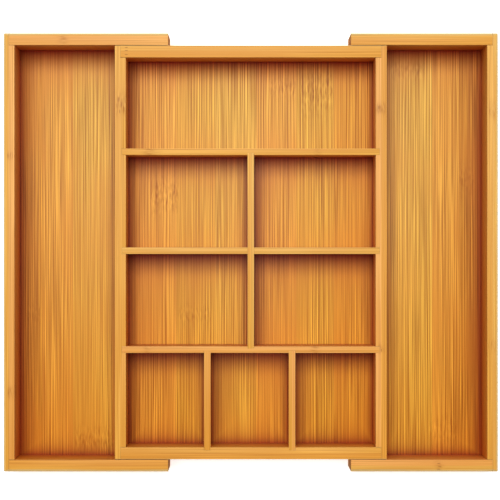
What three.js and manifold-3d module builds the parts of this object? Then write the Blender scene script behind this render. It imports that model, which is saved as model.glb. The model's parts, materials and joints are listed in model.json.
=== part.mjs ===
// An expandable bamboo drawer organizer: a divided centre tray with a wing tray sliding out
// of each side. Millimetres, +X to the right, +Y to the back, +Z up. The origin is at the
// middle of the underside with both wings pulled out, which is how the part is drawn.

import * as THREE from "three";
import { mergeVertices } from "three/addons/utils/BufferGeometryUtils.js";
import Module from "manifold-3d";

const wasm = await Module();
wasm.setup();

// ---- Driving dimensions -------------------------------------------------------------

const WIDTH = 495; // across both wings, pulled out
const DEPTH = 439;
const HEIGHT = 58;
const CENTER_WIDTH = 272;

const SIDE_WALL = 11;
const END_WALL = 12;
const DIVIDER = 6;
const PANEL = 5; // thickness of a floor panel

const GLUE_GAP = 0.3; // between two pieces that are glued together
const SLIDE_GAP = 0.4; // between a wing's end wall and the centre tray's, on each side
const LIFT_GAP = 0.6; // between a wing's floor and the centre tray above it

// The left wing's end walls are the longer pair.
const LEFT_REACH = 164.5;
const RIGHT_REACH = 147;

// ---- Joinery ------------------------------------------------------------------------

const LAP = 5.5; // thickness of the side wall's lip that covers an end wall's end
const PANEL_LET_IN = 5; // how far a floor panel goes into the walls around it
const PANEL_RAISE = 2; // underside of a wing's floor above the table
const WALL_DADO = 4; // how far a cross divider is let into the side walls
const END_DADO = 3; // how far a partition is let into the front wall
const DIVIDER_DADO = 2; // how far one divider is let into another

const KEY_HEIGHT = 9;
const KEY_LET_IN = 3; // how far a slide key is let into the wing's end wall
const KEY_STAND = 4.6; // how far it stands out of that wall
const KEY_SIDE_GAP = 0.5; // above and below the key, in its groove
const KEY_END_GAP = 0.7; // between the key and its stop, with the wing pulled out
const KEY_LEVEL = 33; // height of the key's middle above the table
const KEY_GROOVE = 5; // depth of the groove in the centre tray's end wall

// ---- Derived sizes ------------------------------------------------------------------

const WING_INNER_DEPTH = DEPTH - 2 * END_WALL;
const CENTER_DEPTH = WING_INNER_DEPTH - 2 * SLIDE_GAP;
const CENTER_BASE = PANEL_RAISE + PANEL + LIFT_GAP;
const CENTER_HEIGHT = HEIGHT - CENTER_BASE;
const CENTER_INNER_WIDTH = CENTER_WIDTH - 2 * SIDE_WALL;
const CENTER_INNER_DEPTH = CENTER_DEPTH - 2 * END_WALL;
const DIVIDER_FOOT = PANEL + GLUE_GAP; // above the centre tray's underside
const DIVIDER_SLOT = DIVIDER + 2 * GLUE_GAP;
const LAP_LEVEL = (DIVIDER_FOOT + CENTER_HEIGHT) / 2; // where two crossing dividers meet

// ---- Layout of the centre tray ------------------------------------------------------

const ROW_PITCH = 99;
const MIDDLE_ROW_Y = 1.7;
const BACK_DIVIDER_Y = MIDDLE_ROW_Y + ROW_PITCH;
const FRONT_DIVIDER_Y = MIDDLE_ROW_Y - ROW_PITCH;
const CROSS_DIVIDER_YS = [BACK_DIVIDER_Y, MIDDLE_ROW_Y, FRONT_DIVIDER_Y];
const MID_DIVIDER_X = 0;
const PARTITION_SPACING = 84.8;
const PARTITION_SHIFT = -1.1;
const LEFT_PARTITION_X = PARTITION_SHIFT - PARTITION_SPACING / 2;
const RIGHT_PARTITION_X = PARTITION_SHIFT + PARTITION_SPACING / 2;
const PARTITION_XS = [LEFT_PARTITION_X, RIGHT_PARTITION_X];

// ---- Finishes -----------------------------------------------------------------------

const ROUGHNESS = 0.45;
const WALL_COLOR = 0xe6ab62;
const DIVIDER_COLOR = 0xe4a961;
const FLOOR_COLOR = 0xcf8f42;
const KEY_COLOR = 0xd9a866;

// ---- Helpers ------------------------------------------------------------------------

// A block between two corners, as a solid.
function block(x0, x1, y0, y1, z0, z1) {
  const geometry = new THREE.BoxGeometry(x1 - x0, y1 - y0, z1 - z0);
  geometry.translate((x0 + x1) / 2, (y0 + y1) / 2, (z0 + z1) / 2);
  return solidOf(geometry);
}

// A straight length of a section. The section's points are (y, z), and it runs along X.
function moulding(x0, x1, points) {
  const shape = new THREE.Shape(points.map(([y, z]) => new THREE.Vector2(y, z)));
  const geometry = new THREE.ExtrudeGeometry(shape, { depth: x1 - x0, bevelEnabled: false });
  const along = new THREE.Vector3(1, 0, 0);
  const across = new THREE.Vector3(0, 1, 0);
  const up = new THREE.Vector3(0, 0, 1);
  geometry.applyMatrix4(new THREE.Matrix4().makeBasis(across, up, along));
  geometry.translate(x0, 0, 0);
  return solidOf(geometry);
}

function solidOf(geometry) {
  geometry.deleteAttribute("normal");
  geometry.deleteAttribute("uv");
  const merged = mergeVertices(geometry);
  const mesh = new wasm.Mesh({
    numProp: 3,
    vertProperties: merged.attributes.position.array,
    triVerts: new Uint32Array(merged.index.array),
  });
  return new wasm.Manifold(mesh);
}

function meshOf(name, solid, color) {
  const { vertProperties, triVerts } = solid.getMesh();
  const geometry = new THREE.BufferGeometry();
  geometry.setAttribute("position", new THREE.BufferAttribute(vertProperties, 3));
  geometry.setIndex(new THREE.BufferAttribute(triVerts, 1));
  geometry.computeVertexNormals();
  const material = new THREE.MeshStandardMaterial({ color, roughness: ROUGHNESS, metalness: 0 });
  const mesh = new THREE.Mesh(geometry, material);
  mesh.name = name;
  return mesh;
}

// A cutter runs past each face that it opens by this much.
const CLEAR = 1;

function cutAll(solid, cutters) {
  return cutters.reduce((left, cutter) => left.subtract(cutter), solid);
}

// ---- Walls --------------------------------------------------------------------------
// A wall is drawn lying along X, with its inner face on y = 0, its outer face on
// y = thickness and its underside on z = 0. It is turned into place afterwards.

// A wing's wall has a groove for the floor panel.
function groovedWall(x0, x1, thickness) {
  const grooveBottom = PANEL_RAISE - GLUE_GAP;
  const grooveTop = PANEL_RAISE + PANEL + GLUE_GAP;
  return moulding(x0, x1, [
    [0, 0],
    [thickness, 0],
    [thickness, HEIGHT],
    [0, HEIGHT],
    [0, grooveTop],
    [PANEL_LET_IN, grooveTop],
    [PANEL_LET_IN, grooveBottom],
    [0, grooveBottom],
  ]);
}

// A wall of the centre tray has a rebate for the floor panel along its lower inside edge.
function rebatedWall(x0, x1, thickness) {
  return moulding(x0, x1, [
    [PANEL_LET_IN, 0],
    [thickness, 0],
    [thickness, CENTER_HEIGHT],
    [0, CENTER_HEIGHT],
    [0, DIVIDER_FOOT],
    [PANEL_LET_IN, DIVIDER_FOOT],
  ]);
}

// What is cut from both ends of a side wall, so that a lip covers the end wall's end.
function endLaps(length, height) {
  const lap = END_WALL + GLUE_GAP;
  const deep = SIDE_WALL - LAP;
  const end = length / 2;
  return [
    block(-end - CLEAR, lap - end, -CLEAR, deep, -CLEAR, height + CLEAR),
    block(end - lap, end + CLEAR, -CLEAR, deep, -CLEAR, height + CLEAR),
  ];
}

// The housing for a divider whose end is let into a wall's inner face. It is open at the top,
// and opens at the bottom into the rebate for the floor panel.
function dado(x, depth) {
  const half = DIVIDER_SLOT / 2;
  return block(x - half, x + half, -CLEAR, depth, DIVIDER_FOOT - CLEAR, CENTER_HEIGHT + CLEAR);
}

// ---- Centre tray --------------------------------------------------------------------

function centerSideWall(name, dadoPlaces) {
  const wall = rebatedWall(-CENTER_DEPTH / 2, CENTER_DEPTH / 2, SIDE_WALL);
  const dados = dadoPlaces.map((x) => dado(x, WALL_DADO));
  return meshOf(name, cutAll(wall, [...endLaps(CENTER_DEPTH, CENTER_HEIGHT), ...dados]), WALL_COLOR);
}

// The outer face has the groove that the wings' keys slide in.
function centerEndWall(name, dadoPlaces) {
  const half = CENTER_WIDTH / 2 - LAP - GLUE_GAP;
  const wall = rebatedWall(-half, half, END_WALL);
  const level = KEY_LEVEL - CENTER_BASE;
  const reach = KEY_HEIGHT / 2 + KEY_SIDE_GAP;
  const groove = block(
    -half - CLEAR,
    half + CLEAR,
    END_WALL - KEY_GROOVE,
    END_WALL + CLEAR,
    level - reach,
    level + reach,
  );
  const dados = dadoPlaces.map((x) => dado(x, END_DADO));
  return meshOf(name, cutAll(wall, [groove, ...dados]), WALL_COLOR);
}

function centerFloor() {
  const x = CENTER_INNER_WIDTH / 2 + PANEL_LET_IN - GLUE_GAP;
  const y = CENTER_INNER_DEPTH / 2 + PANEL_LET_IN - GLUE_GAP;
  return meshOf("center_floor_panel", block(-x, x, -y, y, 0, PANEL), FLOOR_COLOR);
}

function dividerBoard(x0, x1, y0, y1) {
  return block(x0, x1, y0, y1, DIVIDER_FOOT, CENTER_HEIGHT);
}

// The housing that the cross divider at y has for another divider's end. side is +1 on its
// back face and -1 on its front face.
function housing(x, y, side) {
  const half = DIVIDER_SLOT / 2;
  const ys = [y + side * (DIVIDER / 2 + CLEAR), y + side * (DIVIDER / 2 - DIVIDER_DADO)];
  const zs = [DIVIDER_FOOT - CLEAR, CENTER_HEIGHT + CLEAR];
  return block(x - half, x + half, Math.min(...ys), Math.max(...ys), ...zs);
}

// The slot through a divider's thickness where two dividers cross, between two heights.
function crossingSlot(z0, z1) {
  const half = DIVIDER_SLOT / 2;
  const x = MID_DIVIDER_X;
  const y = MIDDLE_ROW_Y;
  return block(x - half, x + half, y - half, y + half, z0, z1);
}

function crossDivider(name, y, cuts) {
  const half = CENTER_INNER_WIDTH / 2 + WALL_DADO - GLUE_GAP;
  const board = dividerBoard(-half, half, y - DIVIDER / 2, y + DIVIDER / 2);
  return meshOf(name, cutAll(board, cuts), DIVIDER_COLOR);
}

function backCrossDivider() {
  const cuts = [housing(MID_DIVIDER_X, BACK_DIVIDER_Y, -1)];
  return crossDivider("back_cross_divider", BACK_DIVIDER_Y, cuts);
}

function middleCrossDivider() {
  const cuts = [crossingSlot(LAP_LEVEL - GLUE_GAP / 2, CENTER_HEIGHT + CLEAR)];
  return crossDivider("middle_cross_divider", MIDDLE_ROW_Y, cuts);
}

function frontCrossDivider() {
  const cuts = PARTITION_XS.map((x) => housing(x, FRONT_DIVIDER_Y, -1));
  cuts.push(housing(MID_DIVIDER_X, FRONT_DIVIDER_Y, 1));
  return crossDivider("front_cross_divider", FRONT_DIVIDER_Y, cuts);
}

// It drops over the middle cross divider, so its own slot is open at the bottom.
function midDivider() {
  const letIn = DIVIDER_DADO - GLUE_GAP - DIVIDER / 2;
  const x = DIVIDER / 2;
  const board = dividerBoard(
    MID_DIVIDER_X - x,
    MID_DIVIDER_X + x,
    FRONT_DIVIDER_Y - letIn,
    BACK_DIVIDER_Y + letIn,
  );
  const slot = crossingSlot(DIVIDER_FOOT - CLEAR, LAP_LEVEL + GLUE_GAP / 2);
  return meshOf("mid_divider", board.subtract(slot), DIVIDER_COLOR);
}

function partition(name, x) {
  const frontEnd = -CENTER_INNER_DEPTH / 2 - END_DADO + GLUE_GAP;
  const backEnd = FRONT_DIVIDER_Y - DIVIDER / 2 + DIVIDER_DADO - GLUE_GAP;
  const board = dividerBoard(x - DIVIDER / 2, x + DIVIDER / 2, frontEnd, backEnd);
  return meshOf(name, board, DIVIDER_COLOR);
}

function makeCenterTray() {
  const tray = new THREE.Group();

  const left = centerSideWall("center_left_wall", CROSS_DIVIDER_YS);
  left.position.x = -CENTER_INNER_WIDTH / 2;
  left.rotation.z = Math.PI / 2;

  const rightDados = CROSS_DIVIDER_YS.map((y) => -y);
  const right = centerSideWall("center_right_wall", rightDados);
  right.position.x = CENTER_INNER_WIDTH / 2;
  right.rotation.z = -Math.PI / 2;

  const back = centerEndWall("center_back_wall", []);
  back.position.y = CENTER_INNER_DEPTH / 2;

  const frontDados = PARTITION_XS.map((x) => -x);
  const front = centerEndWall("center_front_wall", frontDados);
  front.position.y = -CENTER_INNER_DEPTH / 2;
  front.rotation.z = Math.PI;

  tray.add(left, right, back, front, centerFloor());
  tray.add(backCrossDivider(), middleCrossDivider(), frontCrossDivider(), midDivider());
  tray.add(partition("front_left_partition", LEFT_PARTITION_X));
  tray.add(partition("front_right_partition", RIGHT_PARTITION_X));
  tray.position.z = CENTER_BASE;
  return tray;
}

// ---- Wing trays ---------------------------------------------------------------------
// A wing is drawn with its outer face on x = 0 and its open side towards +X. reach is the
// length from the outer face to the inner ends of its end walls.

const STOP_X = (WIDTH - CENTER_WIDTH) / 2 + LAP; // the centre side wall's lip, inner side
const KEY_START = STOP_X + KEY_END_GAP;

function wingSideWall(name) {
  const wall = groovedWall(-DEPTH / 2, DEPTH / 2, SIDE_WALL);
  const mesh = meshOf(name, cutAll(wall, endLaps(DEPTH, HEIGHT)), WALL_COLOR);
  mesh.position.x = SIDE_WALL;
  mesh.rotation.z = Math.PI / 2;
  return mesh;
}

// turn is +1 for the end wall on the wing's +Y side, and -1 for the one on its -Y side,
// which is drawn the other way round along X and then turned by half a turn.
function wingEndWall(name, reach, turn) {
  const along = (a, b) => (turn > 0 ? [a, b] : [-b, -a]);
  const wall = groovedWall(...along(LAP + GLUE_GAP, reach), END_WALL);
  const half = KEY_HEIGHT / 2 + GLUE_GAP;
  const ends = along(KEY_START - GLUE_GAP, reach + CLEAR);
  const housed = block(...ends, -CLEAR, KEY_LET_IN, KEY_LEVEL - half, KEY_LEVEL + half);
  const mesh = meshOf(name, wall.subtract(housed), WALL_COLOR);
  mesh.position.y = (turn * WING_INNER_DEPTH) / 2;
  mesh.rotation.z = turn > 0 ? 0 : Math.PI;
  return mesh;
}

function slideKey(name, reach, turn) {
  const half = KEY_HEIGHT / 2;
  const key = block(KEY_START, reach, -KEY_STAND, KEY_LET_IN - GLUE_GAP, -half, half);
  const mesh = meshOf(name, key, KEY_COLOR);
  mesh.position.set(0, (turn * WING_INNER_DEPTH) / 2, KEY_LEVEL);
  mesh.rotation.x = turn > 0 ? 0 : Math.PI;
  return mesh;
}

function wingFloor(name, reach) {
  const x0 = SIDE_WALL - PANEL_LET_IN + GLUE_GAP;
  const y = WING_INNER_DEPTH / 2 + PANEL_LET_IN - GLUE_GAP;
  return meshOf(name, block(x0, reach, -y, y, PANEL_RAISE, PANEL_RAISE + PANEL), FLOOR_COLOR);
}

// plusYEnd and minusYEnd name the ends on the wing's own +Y and -Y sides.
function makeWing(side, reach, plusYEnd, minusYEnd) {
  const wing = new THREE.Group();
  wing.add(wingSideWall(`${side}_wing_side_wall`));
  wing.add(wingEndWall(`${side}_wing_${plusYEnd}_wall`, reach, 1));
  wing.add(wingEndWall(`${side}_wing_${minusYEnd}_wall`, reach, -1));
  wing.add(slideKey(`${side}_${plusYEnd}_slide_key`, reach, 1));
  wing.add(slideKey(`${side}_${minusYEnd}_slide_key`, reach, -1));
  wing.add(wingFloor(`${side}_wing_floor_panel`, reach));
  return wing;
}

// ---- Assembly -----------------------------------------------------------------------

const organizer = new THREE.Group();
organizer.name = "drawer_organizer";

const leftWing = makeWing("left", LEFT_REACH, "back", "front");
leftWing.position.x = -WIDTH / 2;

// Turned half a turn, so that its own +Y side is at the front.
const rightWing = makeWing("right", RIGHT_REACH, "front", "back");
rightWing.position.x = WIDTH / 2;
rightWing.rotation.z = Math.PI;

organizer.add(makeCenterTray(), leftWing, rightWing);

export default organizer;
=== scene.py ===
import json
import math

import bmesh
import bpy
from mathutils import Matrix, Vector

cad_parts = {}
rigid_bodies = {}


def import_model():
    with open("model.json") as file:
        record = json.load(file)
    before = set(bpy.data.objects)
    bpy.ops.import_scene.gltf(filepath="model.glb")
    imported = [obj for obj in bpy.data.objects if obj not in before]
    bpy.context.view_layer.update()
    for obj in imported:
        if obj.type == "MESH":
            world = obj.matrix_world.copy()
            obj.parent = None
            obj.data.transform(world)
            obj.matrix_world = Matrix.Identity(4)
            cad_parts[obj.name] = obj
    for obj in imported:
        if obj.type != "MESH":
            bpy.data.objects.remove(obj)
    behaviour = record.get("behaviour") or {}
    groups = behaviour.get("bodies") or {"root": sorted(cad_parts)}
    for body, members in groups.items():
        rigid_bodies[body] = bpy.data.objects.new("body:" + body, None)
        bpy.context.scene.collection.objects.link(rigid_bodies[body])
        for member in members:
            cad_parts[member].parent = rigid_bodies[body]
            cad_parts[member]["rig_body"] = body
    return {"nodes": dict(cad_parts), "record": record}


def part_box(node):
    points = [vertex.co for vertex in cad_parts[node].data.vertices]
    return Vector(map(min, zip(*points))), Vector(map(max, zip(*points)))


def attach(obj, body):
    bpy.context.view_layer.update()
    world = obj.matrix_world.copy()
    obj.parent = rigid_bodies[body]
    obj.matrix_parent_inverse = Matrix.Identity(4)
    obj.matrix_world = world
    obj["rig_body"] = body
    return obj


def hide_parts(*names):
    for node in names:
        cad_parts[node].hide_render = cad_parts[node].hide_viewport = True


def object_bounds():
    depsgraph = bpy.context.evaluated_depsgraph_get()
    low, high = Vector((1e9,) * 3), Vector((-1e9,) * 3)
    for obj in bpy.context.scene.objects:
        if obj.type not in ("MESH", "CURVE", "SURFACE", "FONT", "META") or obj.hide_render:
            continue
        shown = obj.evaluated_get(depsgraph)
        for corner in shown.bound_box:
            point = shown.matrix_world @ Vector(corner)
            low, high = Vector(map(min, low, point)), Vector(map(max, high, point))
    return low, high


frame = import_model()
cad_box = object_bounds()

MM = 0.001
RIM = cad_box[1].z


# ---- Camera --------------------------------------------------------------------------------
# It looks straight down from about two metres, a little left of and in front of the middle.

CAMERA_ABOVE_RIM = 1.938
CAMERA_X = -5.3 * MM
CAMERA_Y = -8.6 * MM
SENSOR_WIDTH = 36.0
FOCAL_LENGTH = 139.5
SHIFT_X = 0.009
SHIFT_Y = 0.022


def make_camera():
    lens = bpy.data.cameras.new("view")
    lens.sensor_width = SENSOR_WIDTH
    lens.lens = FOCAL_LENGTH
    lens.shift_x = SHIFT_X
    lens.shift_y = SHIFT_Y
    camera = bpy.data.objects.new("camera", lens)
    camera.location = (CAMERA_X, CAMERA_Y, RIM + CAMERA_ABOVE_RIM)
    bpy.context.scene.collection.objects.link(camera)
    bpy.context.scene.camera = camera


make_camera()


# ---- Shapes --------------------------------------------------------------------------------
# Each board is the CAD board with its edges eased: the outer rim is rounded over for the hand,
# and every other outward edge is broken finely, as on a sanded and lacquered board.

ROUND_RADIUS = 3.0 * MM
SMALL_ROUND = 0.9 * MM
CORNER_RADIUS = 1.1 * MM
FINE_RADIUS = 0.10 * MM
JOINT_SWELL = 0.22 * MM
FLAT_ANGLE = 0.02
SHARP_ANGLE = 0.6
NEAR = 0.05 * MM
SAME_POINT = 0.001 * MM
BEVEL_STEPS = 4
SIDES = {
    "-x": (0, 0),
    "+x": (0, 1),
    "-y": (1, 0),
    "+y": (1, 1),
}


def on_side(vertex, box, side):
    """Whether a vertex lies on the named side of a box."""
    axis, end = SIDES[side]
    return abs(vertex.co[axis] - box[end][axis]) < NEAR


def eased_radius(edge, box, rounds, radius):
    """How far an edge is eased: the rim along the named sides most, the corners between them less."""
    ends = edge.verts
    outer = [side for side in rounds if all(on_side(v, box, side) for v in ends)]
    if not outer:
        return FINE_RADIUS
    if all(abs(v.co.z - box[1].z) < NEAR for v in ends):
        return radius
    if len(outer) > 1:
        return CORNER_RADIUS
    return FINE_RADIUS


def eased_board(node, rounds, radius):
    """The node's mesh with its flat faces joined up and its outer edges eased."""
    work = bmesh.new()
    work.from_mesh(frame["nodes"][node].data)
    bmesh.ops.remove_doubles(work, verts=work.verts, dist=SAME_POINT)
    bmesh.ops.dissolve_limit(work, angle_limit=FLAT_ANGLE, verts=work.verts, edges=work.edges)
    weight = work.edges.layers.float.new("bevel_weight_edge")
    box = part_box(node)
    for edge in work.edges:
        outward = edge.is_manifold and edge.calc_face_angle_signed() > SHARP_ANGLE
        if outward:
            edge[weight] = eased_radius(edge, box, rounds, radius) / ROUND_RADIUS
    mesh = bpy.data.meshes.new(node + "_board")
    work.to_mesh(mesh)
    work.free()
    return mesh


def close_joints(mesh, node, axes):
    """Swells a glued board a little along these axes, so that its joints look tight."""
    low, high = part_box(node)
    for axis in axes:
        middle = 0.5 * (low[axis] + high[axis])
        growth = 1.0 + 2.0 * JOINT_SWELL / (high[axis] - low[axis])
        for vertex in mesh.vertices:
            vertex.co[axis] = middle + growth * (vertex.co[axis] - middle)


def bake_modifiers(piece):
    """Replaces the piece's mesh with the result of its modifiers."""
    graph = bpy.context.evaluated_depsgraph_get()
    made = bpy.data.meshes.new_from_object(piece.evaluated_get(graph))
    piece.modifiers.clear()
    piece.data = made


def mark_eased_faces(mesh):
    """Keeps the eased faces as a face attribute, which the materials use for wear and a painted sheen.
    """
    eased = mesh.attributes.new("eased", "FLOAT", "FACE")
    for face in mesh.polygons:
        eased.data[face.index].value = float(face.material_index)
        face.material_index = 0


def make_board(node, rounds=(), radius=ROUND_RADIUS, glued=()):
    """The piece that stands for a CAD board, with its rim rounded on the named sides."""
    piece = bpy.data.objects.new(node + "_board", eased_board(node, rounds, radius))
    bpy.context.scene.collection.objects.link(piece)
    close_joints(piece.data, node, glued)
    for part_of_board in ("flat", "eased"):
        piece.data.materials.append(None)
    bevel = piece.modifiers.new("eased", "BEVEL")
    bevel.limit_method = "WEIGHT"
    bevel.width = ROUND_RADIUS
    bevel.segments = BEVEL_STEPS
    bevel.use_clamp_overlap = False
    bevel.miter_outer = "MITER_ARC"
    bevel.material = 1
    bake_modifiers(piece)
    mark_eased_faces(piece.data)
    piece.data.materials.clear()
    piece.data.shade_smooth()
    piece.data.set_sharp_from_angle(angle=SHARP_ANGLE)
    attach(piece, frame["nodes"][node]["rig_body"])
    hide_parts(node)
    return piece


# ---- Shader helpers ------------------------------------------------------------------------


class Graph:
    """Adds nodes to a node tree. A value may be a number, a tuple or another node's output."""

    def __init__(self, tree):
        self.tree = tree

    def put(self, value, socket):
        if isinstance(value, bpy.types.NodeSocket):
            self.tree.links.new(value, socket)
        elif value is not None:
            socket.default_value = value

    def add(self, kind, inputs=(), **settings):
        node = self.tree.nodes.new(kind)
        for name, value in settings.items():
            setattr(node, name, value)
        for key, value in dict(inputs).items():
            self.put(value, node.inputs[key])
        return node

    def math(self, operation, a, b=None, c=None):
        return self.add("ShaderNodeMath", {0: a, 1: b, 2: c}, operation=operation).outputs[0]

    def sum(self, *values):
        total = values[0]
        for value in values[1:]:
            total = self.math("ADD", total, value)
        return total

    def times(self, *values):
        total = values[0]
        for value in values[1:]:
            total = self.math("MULTIPLY", total, value)
        return total

    def vector(self, x, y, z):
        return self.add("ShaderNodeCombineXYZ", {"X": x, "Y": y, "Z": z}).outputs[0]

    def noise(self, vector, detail=2.0):
        inputs = {"Vector": vector, "Scale": 1.0, "Detail": detail, "Roughness": 0.5}
        return self.add("ShaderNodeTexNoise", inputs).outputs["Fac"]

    def random(self, vector):
        return self.add("ShaderNodeTexWhiteNoise", {"Vector": vector}).outputs["Value"]

    def smooth(self, value, low, high, to_low=0.0, to_high=1.0):
        inputs = {0: value, 1: low, 2: high, 3: to_low, 4: to_high}
        node = self.add("ShaderNodeMapRange", inputs, interpolation_type="SMOOTHSTEP")
        return node.outputs[0]

    def mix(self, factor, a, b, blend="MIX"):
        node = self.add("ShaderNodeMix", data_type="RGBA", blend_type=blend)
        self.put(factor, node.inputs[0])
        self.put(a, node.inputs[6])
        self.put(b, node.inputs[7])
        return node.outputs[2]

    def bands(self, value, stops):
        """Bands of plain colour, each starting at its stop."""
        node = self.add("ShaderNodeValToRGB", {0: value})
        band = node.color_ramp
        band.interpolation = "CONSTANT"
        while len(band.elements) < len(stops):
            band.elements.new(1.0)
        for element, (place, color) in zip(band.elements, stops):
            element.position = place
            element.color = color
        return node.outputs[0]


def make_group(name, inputs, outputs):
    """A node group with the given sockets. Returns its graph, its inputs and its output node."""
    tree = bpy.data.node_groups.new(name, "ShaderNodeTree")
    for label, kind in inputs:
        tree.interface.new_socket(label, in_out="INPUT", socket_type="NodeSocket" + kind)
    for label, kind in outputs:
        tree.interface.new_socket(label, in_out="OUTPUT", socket_type="NodeSocket" + kind)
    entry = tree.nodes.new("NodeGroupInput")
    result = tree.nodes.new("NodeGroupOutput")
    return Graph(tree), {socket.name: socket for socket in entry.outputs}, result


# ---- Bamboo --------------------------------------------------------------------------------


def linear(red, green, blue):
    """A colour given as 0 to 255 sRGB values, as a shader colour."""

    def channel(value):
        value = value / 255.0
        if value <= 0.04045:
            return value / 12.92
        return ((value + 0.055) / 1.055) ** 2.4

    return (channel(red), channel(green), channel(blue), 1.0)


TONES = {
    "straw": linear(236, 183, 88),
    "honey": linear(234, 174, 72),
    "peach": linear(241, 176, 90),
    "amber": linear(230, 164, 63),
    "toffee": linear(222, 154, 58),
    "floor_straw": linear(206, 157, 58),
    "floor_honey": linear(205, 153, 52),
    "floor_peach": linear(208, 149, 53),
    "floor_amber": linear(202, 143, 44),
    "floor_toffee": linear(196, 138, 42),
    "floor_red": linear(218, 134, 40),
}

# Knuckles, seams and flecks are burnt, and eased edges are paler, partly from wear and mostly as a
# painted sheen where they turn.
# The painted shade at the boards' feet, beside them and low on inner wall faces, the darkening towards
# the front and the brown of the cut ends, which is partly painted shade, are multiplied in.
BURN = linear(150, 84, 24)
WEAR_AND_SHEEN_COLOR = linear(216, 182, 118)
PAINTED_SHADE_COLOR = linear(202, 72, 12)
PAINTED_SIDE_SHADE_COLOR = linear(170, 84, 28)
FRONT_DARKENING = linear(250, 230, 176)
END_BROWN_AND_SHADE = (0.44, 0.35, 0.22)

# How fast red, green and blue fall off in a dark fibre, and how close the fine lines lie.
FIBRE_FALL = (1.0, 1.4, 2.4)
LINES_PER_METRE = 360.0
TURN = 2.0 * math.pi


def burst_group():
    """Where a bamboo knuckle crosses one strip: 1 at its middle, fading along the grain."""
    sockets = [("Along", "Float"), ("Across", "Float"), ("At Along", "Float")]
    sockets += [("At Across", "Float"), ("Half Width", "Float"), ("Half Length", "Float")]
    g, given, result = make_group("bamboo_knuckle", sockets, [("Mask", "Float")])
    ragged = g.noise(g.vector(g.times(given["Across"], 330.0), given["At Along"], 0.0))
    shift = g.times(g.math("SUBTRACT", ragged, 0.5), given["Half Length"], 1.4)
    away = g.math("SUBTRACT", g.sum(given["Along"], shift), given["At Along"])
    along = g.math("DIVIDE", away, given["Half Length"])
    fade = g.math("EXPONENT", g.times(along, along, -1.0))
    side = g.math("ABSOLUTE", g.math("SUBTRACT", given["Across"], given["At Across"]))
    inside = g.smooth(g.math("DIVIDE", side, given["Half Width"]), 0.8, 1.1, 1.0, 0.0)
    g.put(g.times(fade, inside), result.inputs["Mask"])
    return g.tree


def fibre_group():
    """Bamboo fibre on a board, given the distances along the grain, across it and in depth."""
    sockets = [("Along", "Float"), ("Across", "Float"), ("Depth", "Float"), ("Strip", "Float")]
    sockets += [("Knuckle", "Float"), ("Contrast", "Float"), ("Tone", "Color")]
    results = [("Color", "Color"), ("Roughness", "Float"), ("Height", "Float")]
    g, given, result = make_group("bamboo_fibre", sockets, results)
    along, depth, knuckle = given["Along"], given["Depth"], given["Knuckle"]
    seed = g.times(given["Strip"], 37.0)
    tangle = g.noise(g.vector(g.times(along, 60.0), g.times(given["Across"], 260.0), seed), 1.0)
    sway = g.noise(g.vector(g.times(along, 4.0), g.times(given["Across"], 25.0), seed), 0.0)
    pull = g.times(g.math("SUBTRACT", tangle, 0.5), knuckle, 2.0 * MM)
    drift = g.times(g.math("SUBTRACT", sway, 0.5), 0.4 * MM)
    across = g.sum(given["Across"], pull, drift)

    def lines(per_along, per_across, detail=1.0):
        place = g.vector(
            g.times(along, per_along),
            g.times(across, per_across),
            g.sum(g.times(depth, per_across), seed),
        )
        return g.noise(place, detail)

    fine = lines(9.0, 1500.0)
    middle = lines(5.0, 300.0)
    broad = lines(2.5, 60.0)
    spikes = lines(125.0, 480.0)
    pores = lines(26.0, 1300.0)
    crisp = g.smooth(fine, 0.38, 0.70)
    wander = g.times(lines(5.0, 95.0, 0.0), 9.0)
    beat = g.math("SINE", g.sum(g.times(across, TURN * LINES_PER_METRE), wander))
    combed = g.smooth(beat, -0.3, 1.0)

    # The lines stand out more in some places than in others, where the wood is redder.
    place = g.vector(g.times(along, 8.0), g.times(across, 26.0), g.sum(seed, 5.0))
    clear = g.smooth(g.noise(place, 1.0), 0.36, 0.60)
    strength = g.times(given["Contrast"], g.sum(0.60, g.times(clear, 0.52)))
    shade = g.sum(
        g.times(g.math("SUBTRACT", crisp, 0.35), strength, 0.60),
        g.times(g.math("SUBTRACT", combed, 0.4), middle, strength, 0.42),
        g.times(g.math("SUBTRACT", broad, 0.5), 0.16),
        g.times(g.math("SUBTRACT", spikes, 0.5), g.times(knuckle, 1.1)),
        g.times(knuckle, -0.06),
    )

    # A darker fibre is also redder: green and blue fall off faster than red.
    falls = [g.math("MAXIMUM", g.sum(1.0, g.times(shade, rate)), 0.05) for rate in FIBRE_FALL]
    color = g.mix(1.0, given["Tone"], g.vector(*falls), "MULTIPLY")
    redder = g.times(g.math("SUBTRACT", 1.0, clear), 0.19)
    color = g.mix(redder, color, TONES["floor_red"])
    dark_line = g.smooth(g.math("ADD", pores, g.times(fine, -0.35)), 0.44, 0.58)
    color = g.mix(g.times(dark_line, 0.08), color, BURN)
    rough = g.sum(0.40, g.times(fine, 0.14), g.times(dark_line, 0.12))
    height = g.sum(g.times(fine, 0.7), g.times(spikes, knuckle, 0.6), g.times(dark_line, -0.5))
    g.put(color, result.inputs["Color"])
    g.put(rough, result.inputs["Roughness"])
    g.put(height, result.inputs["Height"])
    return g.tree


KNUCKLE = burst_group()
FIBRE = fibre_group()
AXES = {"x": 0, "y": 1, "z": 2}

# The strips of a wall, and how far the first and last strips run past their edges, in mm.
STRIP_HEIGHT = 19.3 * MM
KNUCKLE_EVERY = 235.0 * MM
KNUCKLE_HALF_LENGTH = 7.0 * MM
BEFORE_FIRST_EDGE = 60.0
PAST_FACE = 5.0

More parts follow.
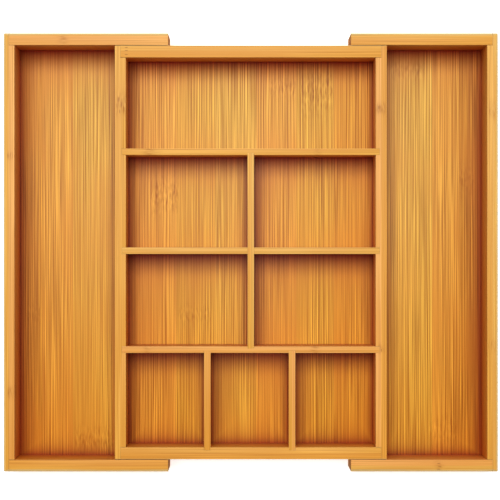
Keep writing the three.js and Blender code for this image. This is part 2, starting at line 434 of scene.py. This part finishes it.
# How far the painted shade reaches from the boards' feet over a floor, and up a wall.
NO_REACH = 0.4 * MM
NARROW_REACH = 5.0 * MM
SIDE_REACH = 9.0 * MM
OUTER_REACH = 12.0 * MM
FRONT_REACH = 14.0 * MM
WALL_SHADE_REACH = 12.0 * MM
WALL_SHADE_STRENGTH = 0.62
FLOOR_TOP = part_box("center_floor_panel")[1].z
FAR = 9.0

# Colours get darker and warmer from the back end over this distance to the front.
BACK_END = 190.0 * MM
FRONT_TO_BACK = 380.0 * MM

COAT = 0.05
COAT_ROUGHNESS = 0.3
SPECULAR = 0.15
FLOOR_LOOK = {"contrast": 1.0, "seams": 0.12, "deep": 1.0}
WALL_LOOK = {"contrast": 0.5, "seams": 0.22, "deep": 0.4}


def strip_tones(g, place, edges):
    """The tone of the strip at a place, from (upper edge in mm, tone name) pairs."""
    low = edges[0][0] - BEFORE_FIRST_EDGE
    high = edges[-1][0]
    scaled = g.math("DIVIDE", g.math("SUBTRACT", place, low * MM), (high - low) * MM)
    stops = []
    start = low
    for upper, tone in edges:
        stops.append(((start - low) / (high - low), TONES[tone]))
        start = upper
    return g.bands(scaled, stops)


def strip_seams(g, place, edges):
    """1 on the fine glue lines between the strips."""
    lines = 0.0
    for upper, tone in edges[:-1]:
        gap = g.math("ABSOLUTE", g.math("SUBTRACT", place, upper * MM))
        lines = g.math("MAXIMUM", lines, g.smooth(gap, 0.1 * MM, 0.45 * MM, 1.0, 0.0))
    return lines


def strip_index(g, place, edges):
    """The number of the strip at a place, counted from 0."""
    index = 0.0
    for upper, tone in edges[:-1]:
        index = g.math("ADD", index, g.math("GREATER_THAN", place, upper * MM))
    return index


def knuckles_at(g, along, across, spots):
    """The listed knuckles: (along, across, half width, half length, strength) in mm."""
    mask = 0.0
    for at_along, at_across, half_width, half_length, strength in spots:
        values = {
            "Along": along,
            "Across": across,
            "At Along": at_along * MM,
            "At Across": at_across * MM,
            "Half Width": half_width * MM,
            "Half Length": half_length * MM,
        }
        node = g.add("ShaderNodeGroup", values, node_tree=KNUCKLE)
        mask = g.math("MAXIMUM", mask, g.times(node.outputs["Mask"], strength))
    return mask


def repeating_knuckles(g, along, index, seed):
    """Knuckles of a narrow strip, one every so often along the grain."""
    start = g.times(g.random(g.vector(index, seed, 4.0)), KNUCKLE_EVERY)
    wrapped = g.math("WRAP", g.math("ADD", along, start), KNUCKLE_EVERY, 0.0)
    away = g.math("SUBTRACT", wrapped, 0.5 * KNUCKLE_EVERY)
    scaled = g.math("DIVIDE", away, KNUCKLE_HALF_LENGTH)
    return g.math("EXPONENT", g.times(scaled, scaled, -1.0))


def shade_near_feet(g, x, y, boards, reaches):
    """How close a place on a floor is to the boards that stand on it, which places the painted shade
    there: 1 at their feet, fading over its own reach to the right of a board, to its left, behind it
    and in front of it."""
    nearest = FAR
    for board in boards:
        low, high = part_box(board)
        gaps = [
            g.math("SUBTRACT", x, high.x),
            g.math("SUBTRACT", low.x, x),
            g.math("SUBTRACT", y, high.y),
            g.math("SUBTRACT", low.y, y),
        ]
        away = 0.0
        for gap, reach in zip(gaps, reaches(board)):
            away = g.math("MAXIMUM", away, g.math("DIVIDE", gap, reach))
        nearest = g.math("MINIMUM", nearest, away)
    return g.math("EXPONENT", g.times(nearest, -1.0))


def front_shadow_reaches(board):
    """How far the painted shadow in front of a board reaches: to its right, to its left, behind it and
    in front of it.
    """
    return NO_REACH, NO_REACH, NO_REACH, FRONT_REACH


def side_shade_reaches(board):
    """How far the painted shade beside and behind a board reaches: to its right, to its left, behind it
    and in front of it.
    """
    to_right = {"left_wing_side_wall": OUTER_REACH, "center_right_wall": NARROW_REACH}
    to_left = {"right_wing_side_wall": OUTER_REACH}
    behind = SIDE_REACH if board.endswith("_front_wall") else NO_REACH
    return to_right.get(board, SIDE_REACH), to_left.get(board, NARROW_REACH), behind, NO_REACH


def flecks_at(g, along, across, flecks):
    """1 on short dark dashes in the grain: (along, across, half length, half width) in mm."""
    mask = 0.0
    for at_along, at_across, half_length, half_width in flecks:
        ahead = g.math("DIVIDE", g.math("SUBTRACT", along, at_along * MM), half_length * MM)
        aside = g.math("DIVIDE", g.math("SUBTRACT", across, at_across * MM), half_width * MM)
        away = g.sum(g.times(ahead, ahead), g.times(aside, aside))
        mask = g.math("MAXIMUM", mask, g.smooth(away, 0.3, 1.4, 1.0, 0.0))
    return mask


def wall_pattern(g, along, height, depth, layers, spots, seed):
    """The tone, seams, strip number, knuckles and knuckles on top of a wall. It has layers across
    its thickness, each of narrow strips one above the other from the rim down."""
    layer = strip_index(g, depth, layers)
    from_top = g.math("DIVIDE", g.math("SUBTRACT", RIM, height), STRIP_HEIGHT)
    row = g.math("FLOOR", from_top)
    index = g.sum(row, g.times(layer, 5.0))
    in_row = g.math("ABSOLUTE", g.math("SUBTRACT", g.math("FRACT", from_top), 0.5))
    seams = g.math("MAXIMUM", strip_seams(g, depth, layers), g.smooth(in_row, 0.482, 0.494))
    below = g.math("MINIMUM", row, 1.0)
    own = g.random(g.vector(index, seed, 1.0))
    tone = g.mix(g.times(below, own, 0.55), strip_tones(g, depth, layers), TONES["toffee"])
    lower = g.times(repeating_knuckles(g, along, index, seed), below)
    on_top = g.times(knuckles_at(g, along, depth, spots), g.math("SUBTRACT", 1.0, below))
    return tone, seams, index, g.math("MAXIMUM", lower, on_top), on_top


def painted_wall_shade(g, height, outward, inside):
    """The painted shade on the inner faces of a wall, stronger low down. The numbers in inside are the
    ways along its thickness, -1 or 1, in which the wall has an inner face."""
    above = g.math("MAXIMUM", g.math("SUBTRACT", height, FLOOR_TOP), 0.0)
    low_down = g.math("EXPONENT", g.math("DIVIDE", above, -WALL_SHADE_REACH))
    painted_shade = g.times(g.sum(0.40, g.times(low_down, 0.60)), WALL_SHADE_STRENGTH)
    shows = 0.0
    for way in inside:
        shows = g.math("MAXIMUM", shows, g.times(outward, way))
    return g.times(painted_shade, g.smooth(shows, 0.5, 0.9))


def end_grain(g, tone, along, across, depth):
    """The colour of a cut end, which is brown, partly as painted shade, and shows the fibre bundles as
    dots.
    """
    place = g.vector(g.times(along, 40.0), g.times(across, 1100.0), g.times(depth, 1100.0))
    dots = g.add("ShaderNodeTexVoronoi", {"Vector": place}).outputs["Distance"]
    dotted = g.smooth(dots, 0.15, 0.5, 0.55, 1.0)
    browned = g.vector(*(g.times(dotted, share) for share in END_BROWN_AND_SHADE))
    return g.mix(1.0, tone, browned, "MULTIPLY")


def worn_and_sheen_edges(g, split, facing):
    """Where eased edges are paler: a painted sheen as they turn from the top to the side, and wear in
    patches.
    """
    eased = g.add("ShaderNodeAttribute", attribute_name="eased").outputs["Fac"]
    patch = g.smooth(g.noise(g.vector(*(g.times(axis, 60.0) for axis in split))), 0.42, 0.62)
    painted_sheen = g.smooth(facing[2], 0.999, 0.84)
    return g.times(eased, g.sum(g.times(painted_sheen, 0.90), g.times(patch, 0.10)))


def bamboo(name, grain, face, seed, strips=None, layers=None, spots=(), flecks=(), feet=(), inside=()):
    """A board of glued bamboo strips. The grain runs along one axis and the broad face looks
    along another. A floor has wide strips side by side, and a wall has layers of narrow ones."""
    material = bpy.data.materials.new(name)
    material.use_nodes = True
    material.node_tree.nodes.clear()
    g = Graph(material.node_tree)
    coordinates = g.add("ShaderNodeTexCoord").outputs["Object"]
    split = g.add("ShaderNodeSeparateXYZ", {0: coordinates}).outputs
    normal = g.add("ShaderNodeNewGeometry").outputs["Normal"]
    facing = g.add("ShaderNodeSeparateXYZ", {0: normal}).outputs
    third = ({"x", "y", "z"} - {grain, face}).pop()
    along, across, depth = (split[AXES[axis]] for axis in (grain, third, face))
    if strips:
        look = FLOOR_LOOK
        tone = strip_tones(g, across, strips)
        seams = strip_seams(g, across, strips)
        index = strip_index(g, across, strips)
        knuckle = knuckles_at(g, along, across, spots)
        on_top = 0.0
        fibre_across, fibre_depth = across, depth
        # Painted shadow in front of the boards standing on the floor, and painted shade beside and
        # behind them.
        painted_shade = shade_near_feet(g, split[0], split[1], feet, front_shadow_reaches)
        painted_side_shade = shade_near_feet(g, split[0], split[1], feet, side_shade_reaches)
    else:
        look = WALL_LOOK
        pattern = wall_pattern(g, along, across, depth, layers, spots, seed)
        tone, seams, index, knuckle, on_top = pattern
        fibre_across = g.math("ADD", across, depth)
        fibre_depth = g.math("SUBTRACT", across, depth)
        # Painted shade on the wall's inner faces, darker low down.
        painted_shade = painted_wall_shade(g, across, facing[AXES[face]], inside)
        painted_side_shade = 0.0
    values = {
        "Along": along,
        "Across": fibre_across,
        "Depth": fibre_depth,
        "Strip": g.math("ADD", index, seed),
        "Knuckle": knuckle,
        "Contrast": look["contrast"],
        "Tone": tone,
    }
    fibre = g.add("ShaderNodeGroup", values, node_tree=FIBRE).outputs
    color = g.mix(g.times(seams, look["seams"]), fibre["Color"], BURN)
    # Colours get darker and warmer towards the front; then the painted shade at the boards' feet and
    # the painted side shade are multiplied in.
    towards_front = g.math("DIVIDE", g.math("SUBTRACT", BACK_END, split[1]), FRONT_TO_BACK)
    color = g.mix(g.times(towards_front, look["deep"]), color, FRONT_DARKENING, "MULTIPLY")
    color = g.mix(painted_shade, color, PAINTED_SHADE_COLOR, "MULTIPLY")
    painted_side_shade = g.times(painted_side_shade, g.sum(1.0, g.times(painted_shade, -0.5)))
    color = g.mix(painted_side_shade, color, PAINTED_SIDE_SHADE_COLOR, "MULTIPLY")
    color = g.mix(g.times(flecks_at(g, along, depth, flecks), 0.65), color, BURN)
    color = g.mix(g.times(on_top, 0.20), color, BURN)

    # The cut ends are darker and rougher than the faces, and have no coat. Part of their darkness is
    # painted shade.
    end = g.smooth(g.math("ABSOLUTE", facing[AXES[grain]]), 0.7, 0.95)
    long_grain = g.math("SUBTRACT", 1.0, end)
    color = g.mix(g.times(end, 0.95), color, end_grain(g, tone, along, across, depth))
    # Eased edges are paler: a painted sheen where they tilt, and wear in patches.
    wear_and_sheen = g.times(worn_and_sheen_edges(g, split, facing), long_grain)
    color = g.mix(wear_and_sheen, color, WEAR_AND_SHEEN_COLOR)
    rough = g.sum(fibre["Roughness"], g.times(wear_and_sheen, 0.10), g.times(end, 0.45))

    bump = g.add("ShaderNodeBump", {"Strength": 0.25, "Distance": 0.12 * MM})
    g.put(fibre["Height"], bump.inputs["Height"])
    surface = {
        "Base Color": color,
        "Roughness": rough,
        "Normal": bump.outputs["Normal"],
        "Coat Weight": g.times(long_grain, COAT),
        "Coat Roughness": COAT_ROUGHNESS,
        "Specular IOR Level": SPECULAR,
    }
    shader = g.add("ShaderNodeBsdfPrincipled", surface)
    g.add("ShaderNodeOutputMaterial", {"Surface": shader.outputs[0]})
    return material


# ---- The boards ----------------------------------------------------------------------------
# Strip edges, knuckles and flecks are distances from the middle of the organizer, in mm. A strip
# is given by its upper edge and tone, and the functions above say what a knuckle's or fleck's
# numbers are.

CENTER_FLOOR = [
    (-118, "floor_toffee"),
    (-77, "floor_peach"),
    (-36.5, "floor_honey"),
    (5, "floor_straw"),
    (46.5, "floor_peach"),
    (85, "floor_honey"),
    (126, "floor_amber"),
    (140, "floor_toffee"),
]
LEFT_FLOOR = [(-214, "floor_amber"), (-183, "floor_peach"), (-142, "floor_straw"), (-80, "floor_honey")]
RIGHT_FLOOR = [(144, "floor_honey"), (186, "floor_straw"), (214, "floor_peach"), (260, "floor_amber")]

CENTER_FLOOR_SPOTS = [
    (168, 33, 14, 9, 0.8),
    (165, 68, 17, 20, 0.9),
    (58, -88, 15, 16, 1.0),
    (-63, -57, 17, 9, 0.6),
]
LEFT_FLOOR_SPOTS = [(-192, -160, 21, 12, 1.0), (-62, -222, 8, 8, 0.6)]
RIGHT_FLOOR_SPOTS = [(188, 160, 18, 9, 0.7), (75, 222, 8, 14, 0.6), (-185, 198, 15, 14, 0.6)]


def board_layers(node, axis, first, second):
    """Two layers of a board as (upper edge in mm, tone name) pairs, from the lower side up."""
    low, high = (corner[AXES[axis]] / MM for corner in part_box(node))
    return [(0.5 * (low + high), first), (high + PAST_FACE, second)]


def glued_axes(node, slot):
    """The axes along which a board meets the boards that it is glued to."""
    if slot == "bamboo_divider":
        return (0, 1)
    if slot == "bamboo_wall" and node.endswith(("_back_wall", "_front_wall")):
        return (0,)
    return ()


SEED = {name: 1.0 + 2.7 * place for place, name in enumerate(sorted(frame["nodes"]))}


def floor_board(node, strips, spots, standing):
    piece = make_board(node)
    look = bamboo(node, "y", "z", SEED[node], strips=strips, spots=spots, feet=standing)
    piece.data.materials.append(look)


def wall_board(
    node,
    grain,
    tones,
    rounds=(),
    radius=ROUND_RADIUS,
    spots=(),
    flecks=(),
    slot="bamboo_wall",
    inside=(-1, 1),
):
    face = {"x": "y", "y": "x"}[grain]
    layers = board_layers(node, face, *tones)
    marks = {"spots": spots, "flecks": flecks, "inside": inside}
    piece = make_board(node, rounds, radius, glued_axes(node, slot))
    piece.data.materials.append(bamboo(node, grain, face, SEED[node], layers=layers, **marks))


CENTER_NODES = frame["record"]["behaviour"]["bodies"]["center_tray"]
CENTER_BOARDS = [name for name in CENTER_NODES if name != "center_floor_panel"]


def make_floors():
    floor_board("center_floor_panel", CENTER_FLOOR, CENTER_FLOOR_SPOTS, CENTER_BOARDS)
    for side, strips, spots in (
        ("left", LEFT_FLOOR, LEFT_FLOOR_SPOTS),
        ("right", RIGHT_FLOOR, RIGHT_FLOOR_SPOTS),
    ):
        walls = [f"{side}_wing_{end}_wall" for end in ("side", "back", "front")]
        floor_board(f"{side}_wing_floor_panel", strips, spots, walls + [f"center_{side}_wall"])


def make_wing_walls():
    wall_board(
        "left_wing_side_wall", "y", ("honey", "peach"), ("-x", "-y", "+y"), inside=(1,),
        spots=[(97, -241, 3, 4, 0.8), (-140, -240, 4, 6, 0.8)],
    )
    wall_board(
        "right_wing_side_wall", "y", ("honey", "straw"), ("+x", "-y", "+y"), inside=(-1,),
        spots=[(142, 242, 4, 8, 0.8), (-93, 241, 4, 5, 0.7)],
    )
    wall_board(
        "left_wing_back_wall", "x", ("peach", "peach"), ("+y",), inside=(-1,),
        spots=[(-188, 213, 5, 4, 0.9)],
    )
    wall_board("left_wing_front_wall", "x", ("honey", "amber"), ("-y",), inside=(1,))
    wall_board("right_wing_back_wall", "x", ("amber", "honey"), ("+y",), inside=(-1,))
    wall_board(
        "right_wing_front_wall", "x", ("straw", "peach"), ("-y",), inside=(1,),
        spots=[(188, -213, 5, 4, 0.8)],
        flecks=[(188, -211, 1.8, 0.5), (189, -214, 1.8, 0.5), (188, -217, 1.8, 0.5)],
    )


def make_center_walls():
    wall_board(
        "center_left_wall", "y", ("honey", "honey"), ("-y", "+y"), SMALL_ROUND,
        spots=[(148, -130, 5, 9, 1.6)],
        flecks=[(153, -132, 2.6, 0.6), (148, -129, 3.0, 0.6), (141, -131, 2.2, 0.5)],
    )
    wall_board(
        "center_right_wall", "y", ("peach", "amber"), ("-y", "+y"), SMALL_ROUND,
        spots=[(144, 130, 5, 5, 1.4), (-96, 131, 4, 4, 0.9)],
        flecks=[(145, 128, 2.0, 0.6), (-95, 127.5, 1.6, 0.5), (-98, 130.5, 1.6, 0.5)],
    )
    wall_board(
        "center_back_wall", "x", ("amber", "honey"), ("+y",), SMALL_ROUND, inside=(-1,),
        flecks=[(-124.5, 204.9, 1.7, 0.5), (-124.5, 202.0, 1.7, 0.5), (-124.5, 197.9, 1.7, 0.5)],
    )
    wall_board(
        "center_front_wall", "x", ("amber", "honey"), ("-y",), SMALL_ROUND, inside=(1,)
    )


def make_dividers():
    slot = "bamboo_divider"
    wall_board(
        "back_cross_divider", "x", ("honey", "honey"), slot=slot,
        spots=[(-101, 101, 4, 7, 0.8), (67, 101, 4, 4, 0.5)],
    )
    wall_board("middle_cross_divider", "x", ("straw", "straw"), slot=slot)
    wall_board(
        "front_cross_divider", "x", ("peach", "peach"), slot=slot,
        spots=[(-103, -97, 4, 4, 0.8), (64, -97, 4, 4, 0.8)],
    )
    wall_board("mid_divider", "y", ("honey", "straw"), slot=slot)
    wall_board("front_left_partition", "y", ("amber", "amber"), slot=slot)
    wall_board("front_right_partition", "y", ("honey", "peach"), slot=slot)


def make_slide_keys():
    for side in ("left", "right"):
        for end in ("back", "front"):
            wall_board(f"{side}_{end}_slide_key", "x", ("amber", "amber"), slot="bamboo_key")


make_floors()
make_wing_walls()
make_center_walls()
make_dividers()
make_slide_keys()


# ---- Floor and light -----------------------------------------------------------------------

FLOOR_HALF_WIDTH = 8.0
FLOOR_GAP = 0.2 * MM
FLOOR_COLOR = (0.93, 0.93, 0.93, 1.0)
FLOOR_GLOW = 0.72
SKY_STRENGTH = 0.16
KEY_PLACE = Vector((-0.22, 0.98, 4.2))
KEY_SIZE = 2.6
KEY_WATTS = 199.0
KEY_COLOR = (1.0, 0.98, 0.95)


def floor_material():
    material = bpy.data.materials.new("studio_floor")
    material.use_nodes = True
    shader = material.node_tree.nodes["Principled BSDF"]
    shader.inputs["Base Color"].default_value = FLOOR_COLOR
    shader.inputs["Roughness"].default_value = 0.9
    shader.inputs["Emission Color"].default_value = FLOOR_COLOR
    shader.inputs["Emission Strength"].default_value = FLOOR_GLOW
    return material


def make_floor():
    half = FLOOR_HALF_WIDTH
    mesh = bpy.data.meshes.new("studio_floor")
    corners = [(-half, -half, 0.0), (half, -half, 0.0), (half, half, 0.0), (-half, half, 0.0)]
    mesh.from_pydata(corners, [], [(0, 1, 2, 3)])
    mesh.materials.append(floor_material())
    floor = bpy.data.objects.new("studio_floor", mesh)
    floor.location.z = cad_box[0].z - FLOOR_GAP
    bpy.context.scene.collection.objects.link(floor)


def make_key_light():
    """One wide lamp above and behind the object, aimed at its middle."""
    lamp = bpy.data.lights.new("key", "AREA")
    lamp.shape = "DISK"
    lamp.size = KEY_SIZE
    lamp.energy = KEY_WATTS
    lamp.color = KEY_COLOR
    light = bpy.data.objects.new("key", lamp)
    light.location = KEY_PLACE
    light.rotation_euler = (-KEY_PLACE).to_track_quat("-Z", "Y").to_euler()
    bpy.context.scene.collection.objects.link(light)


def make_sky():
    world = bpy.data.worlds.new("studio")
    world.use_nodes = True
    sky = world.node_tree.nodes["Background"]
    sky.inputs["Color"].default_value = (1.0, 1.0, 1.0, 1.0)
    sky.inputs["Strength"].default_value = SKY_STRENGTH
    bpy.context.scene.world = world


make_floor()
make_key_light()
make_sky()
bpy.context.scene.view_settings.view_transform = "Standard"
bpy.context.scene.view_settings.look = "None"
